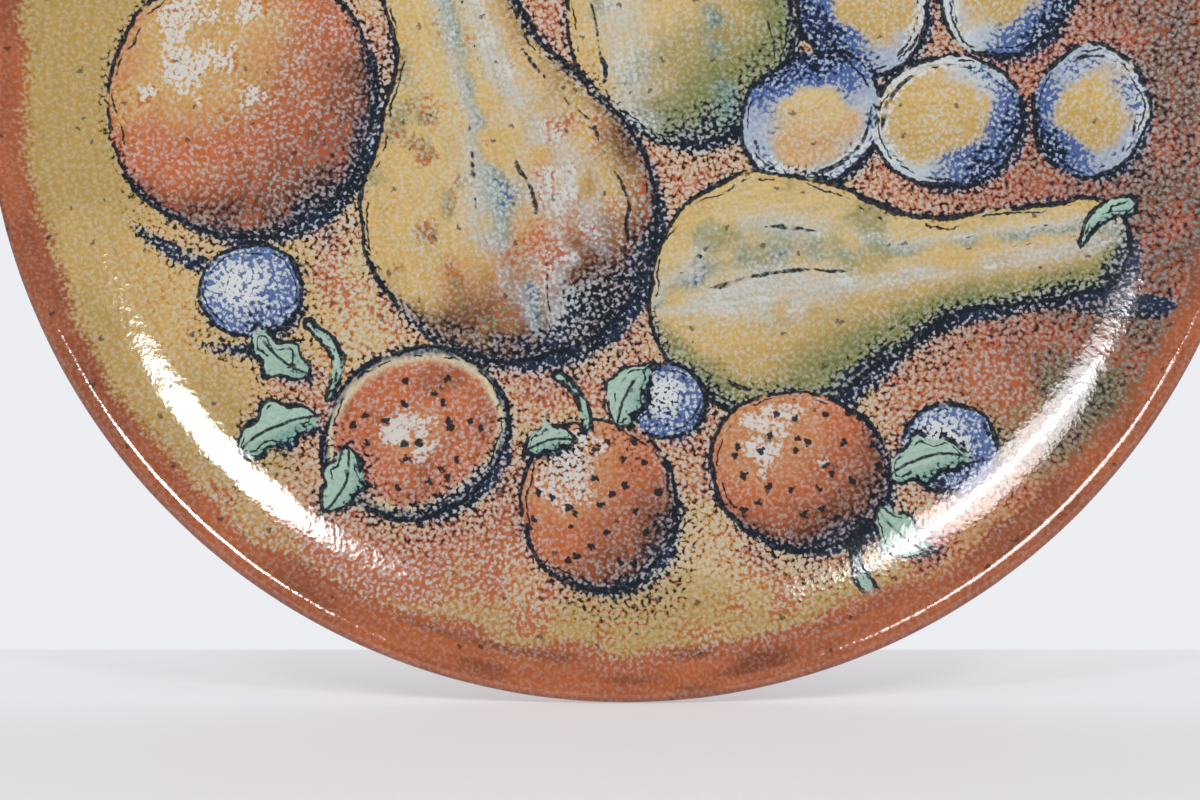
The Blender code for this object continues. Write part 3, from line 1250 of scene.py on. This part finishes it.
@dataclass(frozen=True)
class WashedBack:
    """The back: a thin brown glaze over clay, ringed by the wheel; sizes in millimetres."""

    axis_height: float  # in metres, as the relief is
    name: str = "back_glaze"
    fine: float = 1.9
    fleck: float = 1.2
    bead: float = 1.7
    bead_push: float = 1.3
    cloud: float = 46.0
    ripple: float = 3.4
    rings: float = 0.35  # wheel rings to a millimetre
    roughness: float = 0.14
    relief: float = 0.00003

    def material(self) -> bpy.types.Material:
        """Builds the material.

        Returns:
            The back's material.
        """
        made = bpy.data.materials.new(self.name)
        bench = Bench(made)
        place = bench.solid_place()
        fine = bench.noise(place, self.fine, out="Color", kind="3D")
        fleck = bench.noise(place, self.fleck, 2.0, kind="3D")
        beads = bench.cells(bench.moved(place, fine, self.bead_push), self.bead, "3D")
        beads = beads.step(0.72, 0.12)
        beads = beads * 0.6 + fleck * 0.4
        cloud = bench.noise(place, self.cloud, 4.0, kind="3D")
        x, _, z = place.parts()
        radius = bench.vectors("LENGTH", {0: bench.vector(x, z - self.axis_height / MM)}, "Value")
        sockets = {"W": radius * self.rings, "Detail": 3.0}
        wheel = bench.node("ShaderNodeTexNoise", {"noise_dimensions": "1D"}, sockets)
        washed = (cloud + (wheel - 0.5) * 0.5).step(0.3, 0.8) * 0.6
        colour = bench.blend(Pigment.TERRACOTTA.rgba, Pigment.APRICOT.rgba, washed)
        ringed = (wheel + (fleck - 0.5) * 0.4).step(0.5, 0.75) * 0.4
        colour = bench.blend(colour, Pigment.LIP_BROWN.rgba, ringed)
        colour = bench.blend(colour, Pigment.PALE_GLAZE.rgba, beads.step(0.35, 0.95) * 0.3)
        height = beads * 0.4 + wheel * 2.0 + bench.noise(place, self.ripple, kind="3D") * 1.2
        bench.fired(colour, self.roughness + 0.1 * fleck, height, self.relief)
        return made


@dataclass(frozen=True)
class BareClay:
    """The foot ring's bare clay, wiped clean of glaze before the firing."""

    name: str = "bare_clay"
    grit: float = 0.6  # in millimetres
    cloud: float = 22.0
    roughness: float = 0.75
    relief: float = 0.00015  # in metres

    def material(self) -> bpy.types.Material:
        """Builds the material.

        Returns:
            The foot ring's material.
        """
        made = bpy.data.materials.new(self.name)
        bench = Bench(made)
        place = bench.solid_place()
        grit = bench.noise(place, self.grit, 4.0, kind="3D")
        cloud = bench.noise(place, self.cloud, 3.0, kind="3D")
        pale = (grit * 0.5 + cloud * 0.5).step(0.35, 0.75) * 0.6
        colour = bench.blend(Pigment.CLAY.rgba, Pigment.APRICOT.rgba, pale)
        bench.fired(colour, self.roughness + 0.15 * grit, grit, self.relief)
        return made


class Ware(Enum):
    """The plate's three surfaces, in the order of its material slots."""

    FACE = 0
    BACK = 1
    FOOT = 2


@dataclass
class PlateBody:
    """The turned plate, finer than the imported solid; sizes in metres, slopes in degrees."""

    low: Vector
    high: Vector
    name: str = "glazed_plate"
    body: float = 0.008  # the clay's thickness
    floor_end_slope: float = 3.0
    wall_curve: float = 0.076
    wall_steepest: float = 35.0
    lip_curve: float = 0.0086
    lip_edge: float = 0.0022
    foot_diameter: float = 0.234
    foot_width: float = 0.010
    foot_height: float = 0.012
    foot_edge: float = 0.0015
    foot_fillet: float = 0.0025
    hole_diameter: float = 0.0066
    hole_spacing: float = 0.060
    turns: int = 560
    floor_rings: int = 102
    wall_rings: int = 18
    lip_rings: int = 9
    edge_rings: int = 5
    back_rings: int = 7
    behind_foot_rings: int = 4
    fillet_rings: int = 4
    foot_edge_rings: int = 3
    recess_rings: int = 6
    hole_sides: int = 28
    merge: float = 0.000002  # how close the spin's two ends lie to be joined
    sharpest: float = 40.0  # degrees, past which an edge isn't smoothed
    wave: float = 0.00022  # how deep the waves of hand throwing are
    wave_size: float = 0.022
    rim: float = field(init=False)
    axis_height: float = field(init=False)
    floor_slope: float = field(init=False)
    wall_slope: float = field(init=False)
    floor_end: float = field(init=False)
    floor_bend: float = field(init=False)
    centre: float = field(init=False)
    foot_outside: float = field(init=False)
    foot_inside: float = field(init=False)
    wall_centre: Vector = field(init=False)

    def __post_init__(self) -> None:
        """Works out what follows from the sizes."""
        self.rim = (self.high.x - self.low.x) / 2
        self.axis_height = self.high.z - self.rim
        self.floor_slope = radians(self.floor_end_slope)
        self.wall_slope = radians(self.wall_steepest)
        wall_end = self.rim - self.lip_edge - self.lip_curve * sin(self.wall_slope)
        self.floor_end = wall_end - self.wall_curve * (sin(self.wall_slope) - sin(self.floor_slope))
        self.floor_bend = tan(self.floor_slope) / (2 * self.floor_end)
        self.centre = self.foot_height + self.body - self.floor_bend * (self.foot_diameter / 2) ** 2
        self.foot_outside = self.foot_diameter / 2 + self.foot_width / 2
        self.foot_inside = self.foot_diameter / 2 - self.foot_width / 2
        towards_axis = Vector((-sin(self.floor_slope), cos(self.floor_slope)))
        self.wall_centre = self.floor(self.floor_end) + self.wall_curve * towards_axis

    def floor(self, radius: float) -> Vector:
        """The face of the floor at a radius, as radius and height."""
        return Vector((radius, self.centre + self.floor_bend * radius**2))

    def back(self, radius: float) -> Vector:
        """The back under the floor at a radius, as radius and height."""
        lean = atan(2 * self.floor_bend * radius)
        return Vector((radius, self.floor(radius).y - self.body / cos(lean)))

    @staticmethod
    def arc(centre: Vector, radius: float, first: float, last: float, steps: int) -> list[Vector]:
        """Points on an arc, without its first one.

        Args:
            centre: Its centre, as radius and height.
            radius: Its own radius.
            first, last: Where it starts and ends, in radians from the outward way to the face.
            steps: How many edges it has.

        Returns:
            The points, as radius and height.
        """
        turns = [first + (last - first) * step / steps for step in range(1, steps + 1)]
        return [centre + radius * Vector((cos(turn), sin(turn))) for turn in turns]

    @staticmethod
    def bend(start: Vector, corner: Vector, end: Vector, steps: int) -> list[Vector]:
        """Points on a curve that leaves start and reaches end along their lines to corner.

        Args:
            start, corner, end: As radius and height.
            steps: How many edges it has.

        Returns:
            The points, without the first one.
        """
        shares = [step / steps for step in range(1, steps + 1)]
        return [start * (1 - s) ** 2 + corner * 2 * s * (1 - s) + end * s**2 for s in shares]

    def face_outline(self) -> list[Vector]:
        """Draws the face from the axis out over the lip to the widest point.

        Returns:
            Its points, as radius and height.
        """
        quarter = pi / 2
        rings = range(self.floor_rings + 1)
        points = [self.floor(self.floor_end * ring / self.floor_rings) for ring in rings]
        first, last = self.floor_slope - quarter, self.wall_slope - quarter
        points += self.arc(self.wall_centre, self.wall_curve, first, last, self.wall_rings)
        behind_wall = Vector((sin(self.wall_slope), -cos(self.wall_slope)))
        lip_centre = points[-1] + self.lip_curve * behind_wall
        points += self.arc(lip_centre, self.lip_curve, quarter + self.wall_slope, quarter, self.lip_rings)
        edge_centre = points[-1] - Vector((0, self.lip_edge))
        return points + self.arc(edge_centre, self.lip_edge, quarter, 0, self.edge_rings)

    def back_outline(self, widest: Vector) -> list[Vector]:
        """Draws the back from the widest point in to the axis, with the foot ring.

        Args:
            widest: The last point of the face.

        Returns:
            The points after it, as radius and height.
        """
        lean = self.wall_slope
        outer = self.wall_curve + self.body
        wall_top = self.wall_centre + outer * Vector((sin(lean), -cos(lean)))
        corner = Vector((widest.x, wall_top.y + (widest.x - wall_top.x) * tan(lean)))
        points = self.bend(widest, corner, wall_top, self.back_rings)
        first, last = lean - pi / 2, self.floor_slope - pi / 2
        points += self.arc(self.wall_centre, outer, first, last, self.back_rings)
        return points + self.foot_outline(points[-1].x)

    def foot_outline(self, wall_radius: float) -> list[Vector]:
        """Draws the back of the floor with the foot ring.

        Args:
            wall_radius: Where the back of the wall ends.

        Returns:
            The points inside it, down to the axis.
        """
        outside, inside = self.foot_outside, self.foot_inside
        fillet, edge = Vector((0, self.foot_fillet)), self.foot_edge
        span = outside + self.foot_fillet - wall_radius
        steps = range(1, self.behind_foot_rings + 1)
        points = [self.back(wall_radius + span * step / self.behind_foot_rings) for step in steps]
        points += self.bend(points[-1], self.back(outside), self.back(outside) - fillet, self.fillet_rings)
        foot = Vector((outside, 0))
        points += [foot + Vector((0, edge))]
        points += self.bend(points[-1], foot, foot - Vector((edge, 0)), self.foot_edge_rings)
        foot = Vector((inside, 0))
        points += [foot + Vector((edge, 0))]
        points += self.bend(points[-1], foot, foot + Vector((0, edge)), self.foot_edge_rings)
        points += [self.back(inside) - fillet]
        inner_end = self.back(inside - self.foot_fillet)
        points += self.bend(points[-1], self.back(inside), inner_end, self.fillet_rings)
        steps = range(1, self.recess_rings + 1)
        return points + [self.back(inner_end.x * (1 - step / self.recess_rings)) for step in steps]

    def placed(self, point: Vector) -> Vector:
        """A point of the outline in the plate's own place, to the right of its axis."""
        return Vector((point.x, -point.y, self.axis_height))

    def turned(self) -> bpy.types.Object:
        """Draws the outline edge by edge and spins it into the plate.

        Returns:
            The plate, selected and active.
        """
        face = self.face_outline()
        outline = [self.placed(point) for point in face + self.back_outline(face[-1])]
        bpy.ops.mesh.primitive_plane_add(size=self.body, location=outline[0])
        plate = bpy.context.object
        plate.name = plate.data.name = self.name
        bpy.ops.object.transform_apply(location=True)
        bpy.ops.object.mode_set(mode="EDIT")
        bpy.ops.mesh.select_all(action="SELECT")
        bpy.ops.mesh.merge(type="CENTER")
        for here, there in zip(outline, outline[1:]):
            bpy.ops.mesh.extrude_region_move(TRANSFORM_OT_translate={"value": there - here})
        bpy.ops.mesh.select_all(action="SELECT")
        middle = (0, 0, self.axis_height)
        bpy.ops.mesh.spin(steps=self.turns, angle=2 * pi, center=middle, axis=(0, 1, 0))
        bpy.ops.mesh.select_all(action="SELECT")
        bpy.ops.mesh.remove_doubles(threshold=self.merge)
        bpy.ops.mesh.normals_make_consistent(inside=False)
        bpy.ops.object.mode_set(mode="OBJECT")
        return plate

    def throw_unevenly(self, plate: bpy.types.Object) -> None:
        """Gives the turned surface the slight waves of hand work, only inwards.

        Args:
            plate: The plate, active.
        """
        clay = bpy.data.textures.new("thrown_waves", "CLOUDS")
        clay.noise_scale = self.wave_size
        wave = plate.modifiers.new("waves", "DISPLACE")
        wave.texture, wave.texture_coords = clay, "LOCAL"
        wave.strength, wave.mid_level = self.wave, 1.0
        bpy.ops.object.modifier_apply(modifier=wave.name)

    def pierce(self, plate: bpy.types.Object) -> None:
        """Drills the two cord holes up through the top of the foot ring.

        Args:
            plate: The plate.
        """
        length = 2.6 * self.foot_width
        for side in (-1, 1):
            across = side * self.hole_spacing / 2
            top = sqrt(self.foot_outside**2 - across**2) + self.axis_height
            spot = (across, -self.foot_height / 2, top - self.foot_width / 2)
            bpy.ops.mesh.primitive_cylinder_add(
                vertices=self.hole_sides, radius=self.hole_diameter / 2, depth=length, location=spot
            )
            drill = bpy.context.object
            bpy.ops.object.select_all(action="DESELECT")
            plate.select_set(True)
            bpy.context.view_layer.objects.active = plate
            hole = plate.modifiers.new("hole", "BOOLEAN")
            hole.object, hole.operation = drill, "DIFFERENCE"
            bpy.ops.object.modifier_apply(modifier=hole.name)
            bpy.data.objects.remove(drill)

    def part_surfaces(self, plate: bpy.types.Object) -> None:
        """Gives the face, the back and the bare foot their own materials.

        Args:
            plate: The plate.
        """
        for finish in (PaintedFace(), WashedBack(self.axis_height), BareClay()):
            plate.data.materials.append(finish.material())
        mesh = plate.data
        count = len(mesh.polygons)
        centres, normals = np.empty(count * 3), np.empty(count * 3)
        mesh.polygons.foreach_get("center", centres)
        mesh.polygons.foreach_get("normal", normals)
        centres, normals = centres.reshape(-1, 3), normals.reshape(-1, 3)
        forward, depth = normals[:, 1] < 0.02, centres[:, 1]
        slots = np.full(count, Ware.BACK.value)
        slots[forward & (depth < -0.9 * self.centre)] = Ware.FACE.value
        slots[depth > -0.6 * self.foot_edge] = Ware.FOOT.value
        mesh.polygons.foreach_set("material_index", slots.astype(np.int32))

    def paint(self, plate: bpy.types.Object) -> None:
        """Stores the ground's, the motifs' and the lip's coats on the mesh.

        Args:
            plate: The plate.
        """
        mesh = plate.data
        places = np.empty(len(mesh.vertices) * 3)
        mesh.vertices.foreach_get("co", places)
        x = places[0::3] / MM
        z = (places[2::3] - self.axis_height) / MM
        coats = {"ground": Ground().coat(x, z)}
        coats.update((layer.name, layer.coat(x, z)) for layer in LAYERS)
        shadow = np.zeros(len(x))
        for layer in reversed(LAYERS):
            coats[layer.name].dark = np.maximum(coats[layer.name].dark, shadow)
            shadow = np.maximum(shadow, layer.shadow(x, z))
        coats["ground"].dark = np.maximum(coats["ground"].dark, shadow)
        coats["lip"] = Lip(self.rim / MM).coat(x, z)
        for name, coat in coats.items():
            self.store(mesh, f"{name}_tint", [*coat.tint.T, coat.broken])
            self.store(mesh, f"{name}_wash", [coat.dark, coat.accent, coat.light, coat.seeds])
            self.store(mesh, f"{name}_shape", [coat.edge, coat.along, coat.across, coat.mark])

    @staticmethod
    def store(mesh: bpy.types.Mesh, name: str, parts: list[np.ndarray]) -> None:
        """Keeps four values at each point of a mesh under a name.

        Args:
            mesh: The mesh.
            name: The attribute's name.
            parts: The four values, each for all points.
        """
        kept = mesh.attributes.new(name, "FLOAT_COLOR", "POINT")
        kept.data.foreach_set("color", np.stack(parts, axis=1).astype(np.float32).ravel())

    def build(self) -> bpy.types.Object:
        """Makes, pierces and paints the plate.

        Returns:
            The plate.
        """
        plate = self.turned()
        self.throw_unevenly(plate)
        self.pierce(plate)
        self.part_surfaces(plate)
        self.paint(plate)
        bpy.ops.object.shade_smooth_by_angle(angle=radians(self.sharpest))
        LOG.info("%s: %d faces", plate.name, len(plate.data.polygons))
        return plate


class LightShape(Enum):
    """The outline of a softbox, and how much of its rectangle it fills."""

    RECTANGLE = 1.0
    ELLIPSE = pi / 4


@dataclass(frozen=True)
class Softbox:
    """A soft light aimed at the plate, placed by the way from the plate to it; sizes in metres."""

    name: str
    aim: tuple[float, float]  # right of and above the plate's middle
    way: tuple[float, float, float]
    size: tuple[float, float]
    roll: float  # degrees about its own beam
    radiance: float  # how bright its surface is
    shape: LightShape = LightShape.ELLIPSE
    reach: float = 1.5
    colour: Colour = (1.0, 1.0, 1.0)
    mirrored: bool = True  # whether the glaze reflects it

    def hang(self, axis_height: float) -> None:
        """Makes the light.

        Args:
            axis_height: The height of the plate's middle.
        """
        data = bpy.data.lights.new(self.name, "AREA")
        data.shape = self.shape.name
        data.size, data.size_y = self.size
        data.energy = self.radiance * pi * self.size[0] * self.size[1] * self.shape.value
        data.color = self.colour
        box = bpy.data.objects.new(self.name, data)
        bpy.context.scene.collection.objects.link(box)
        way = Vector(self.way).normalized()
        right, up = self.aim
        box.location = Vector((right, -WALL_DEPTH, axis_height + up)) + way * self.reach
        facing = (-way).to_track_quat("-Z", "Y").to_matrix()
        box.rotation_euler = (facing @ Matrix.Rotation(radians(self.roll), 3, "Z")).to_euler()
        box.visible_camera = False
        box.visible_glossy = self.mirrored


LEFT_WALL, RIGHT_WALL = (-0.125, -0.125), (0.125, -0.125)
TO_LEFT_WINDOW, TO_RIGHT_WINDOW = (0.334, -0.823, 0.452), (-0.310, -0.832, 0.459)
SOFTBOXES = (
    Softbox("window_left", LEFT_WALL, TO_LEFT_WINDOW, (0.33, 0.27), 45, 26.0),
    Softbox("room_right", RIGHT_WALL, TO_RIGHT_WINDOW, (0.44, 0.34), -45, 11.0, colour=(1.0, 0.94, 0.97)),
    Softbox("window_right", RIGHT_WALL, TO_RIGHT_WINDOW, (0.06, 0.34), -45, 30.0, reach=1.45),
    *(
        Softbox(name, (0, 0), (across, -0.50, 0.34), (0.9, 0.9), 0, 1.7, LightShape.RECTANGLE, mirrored=False)
        for name, across in (("side_left", -0.80), ("side_right", 0.80))
    ),
)


@dataclass(frozen=True)
class Studio:
    """The pale floor, the light and the camera; sizes in metres, the sensor in millimetres."""

    floor_height: float
    axis_height: float
    plate_front: float
    camera_reach: float = 0.817
    camera_aside: float = -0.0076
    camera_below: float = 0.1056  # how far below the plate's middle the camera stands
    view_width: float = 0.3743  # how much of the plate's front the picture spans
    sensor: float = 36.0
    floor_width: float = 2.4
    floor_front: float = 1.6
    floor_back: float = 0.139
    front_fill: float = 0.15  # how bright the room is in front of the plate
    back_fill: float = 0.6
    floor_colour: str = "DAD9DB"
    # painted light: the floor shines by itself, dimly in front of the plate and brighter behind it, where the
    # plate's shadow falls
    near_painted_floor_light: str = "7C7B7D"
    far_painted_floor_light: str = "ACACAD"
    unlit: str = "000000"
    room_light: str = "F4F7FF"
    backdrop: str = "ECEEF2"

    def floor(self) -> None:
        """A pale floor that ends a little way behind the plate, with painted light: it shines by itself, more
        behind the plate, where the plate's shadow falls.
        """
        depth = self.floor_front + self.floor_back
        middle = (0, (self.floor_back - self.floor_front) / 2, self.floor_height)
        bpy.ops.object.select_all(action="DESELECT")
        bpy.ops.mesh.primitive_plane_add(size=1, location=middle)
        floor = bpy.context.object
        floor.name = "floor"
        floor.scale = (self.floor_width, depth, 1)
        bpy.ops.object.transform_apply(location=True, scale=True)
        made = bpy.data.materials.new("pale_floor")
        bench = Bench(made)
        backwards = bench.node("ShaderNodeTexCoord", {}, {}, "Object").parts()[1]
        # painted light: the floor shines more towards the back, over the plate's shadow
        painted_floor_light = bench.blend(opaque(self.near_painted_floor_light), opaque(self.far_painted_floor_light), backwards.step(-0.24, 0.22))
        sockets = {"Base Color": opaque(self.floor_colour), "Roughness": 0.6}
        sockets.update({"Emission Color": painted_floor_light, "Emission Strength": 1.0})
        bench.finish(bench.node("ShaderNodeBsdfPrincipled", {}, sockets))
        floor.data.materials.append(made)
        LOG.info("floor: staged")

    def light(self) -> None:
        """A pale room, brighter behind the plate than in front, and the softboxes."""
        world = bpy.data.worlds.new("room")
        bpy.context.scene.world = world
        bench = Bench(world)
        seen = bench.node("ShaderNodeLightPath", {}, {}, "Is Camera Ray")
        backwards = bench.node("ShaderNodeTexCoord", {}, {}, "Generated").parts()[1]
        room = bench.between(self.front_fill, self.back_fill, backwards.step(-0.1, 0.35))
        tint = bench.blend(opaque(self.unlit), opaque(self.room_light), room)
        colour = bench.blend(tint, opaque(self.backdrop), seen)
        background = bench.node("ShaderNodeBackground", {}, {"Color": colour})
        output = bench.tree.nodes.new("ShaderNodeOutputWorld")
        bench.tree.links.new(background.socket, output.inputs["Surface"])
        for softbox in SOFTBOXES:
            softbox.hang(self.axis_height)

    def camera(self) -> None:
        """A level camera square to the plate."""
        data = bpy.data.cameras.new("camera")
        data.sensor_width = self.sensor
        data.lens = self.sensor * self.camera_reach / self.view_width
        camera = bpy.data.objects.new("camera", data)
        bpy.context.scene.collection.objects.link(camera)
        height = self.axis_height - self.camera_below
        camera.location = (self.camera_aside, self.plate_front - self.camera_reach, height)
        camera.rotation_euler = (radians(90), 0, 0)
        bpy.context.scene.camera = camera
        bpy.context.scene.view_settings.view_transform = "Standard"


def main() -> None:
    """Builds the studio and the dressed plate."""
    logging.basicConfig(level=logging.INFO, format="%(name)s: %(message)s")
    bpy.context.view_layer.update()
    low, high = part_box("plate")
    bpy.ops.object.select_all(action="DESELECT")
    body = PlateBody(Vector(low), Vector(high))
    studio = Studio(low[2], body.axis_height, body.low.y + body.lip_edge)
    studio.camera()
    studio.light()
    studio.floor()
    bpy.ops.object.select_all(action="DESELECT")
    plate = body.build()
    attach(plate, "root")
    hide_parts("plate")


if __name__ == "__main__":
    main()
